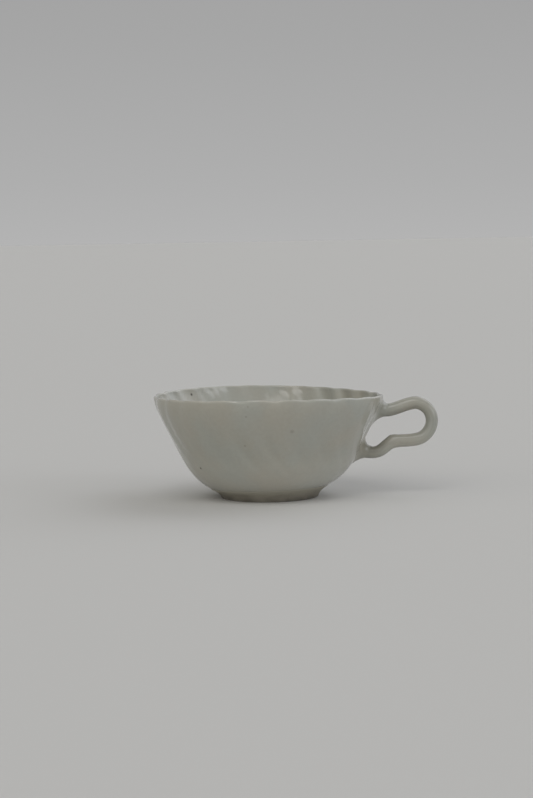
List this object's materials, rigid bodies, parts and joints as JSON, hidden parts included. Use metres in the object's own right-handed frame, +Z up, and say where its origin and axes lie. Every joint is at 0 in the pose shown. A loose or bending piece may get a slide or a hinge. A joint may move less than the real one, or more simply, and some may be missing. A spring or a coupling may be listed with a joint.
{
  "type": "ceramic cup",
  "caption": "Wide, low porcelain cup with swept flutes pressed through its thin wall, a low foot ring and a looped rod handle for finger and thumb.",
  "frame": {"origin": "on the table, midway along the cup's length from the side opposite the handle to the handle's end, under the cup's middle plane", "axes": "+X from the bowl towards the handle, +Z up, +Y to the left of someone who looks along +X; the bowl's own axis is upright at x = -0.0113 m"},
  "size_m": [0.1172, 0.0944, 0.0434],
  "materials": {
    "bowl_glaze": "clear satin glaze over pale grey porcelain",
    "foot_clay": "bare porcelain clay, wiped of its glaze and a little soiled where it stands",
    "handle_glaze": "clear satin glaze over pale grey porcelain",
    "collar_glaze": "clear satin glaze, a little thicker in the hollow",
    "bare_slip": "fired slip, unglazed"
  },
  "bodies": {
    "root": {"bowl": "bowl_glaze", "foot_ring": "foot_clay", "foot_ring_slip_film": "bare_slip", "handle": "handle_glaze", "upper_handle_slip_collar": "collar_glaze", "lower_handle_slip_collar": "collar_glaze"}
  },
  "joints": []
}
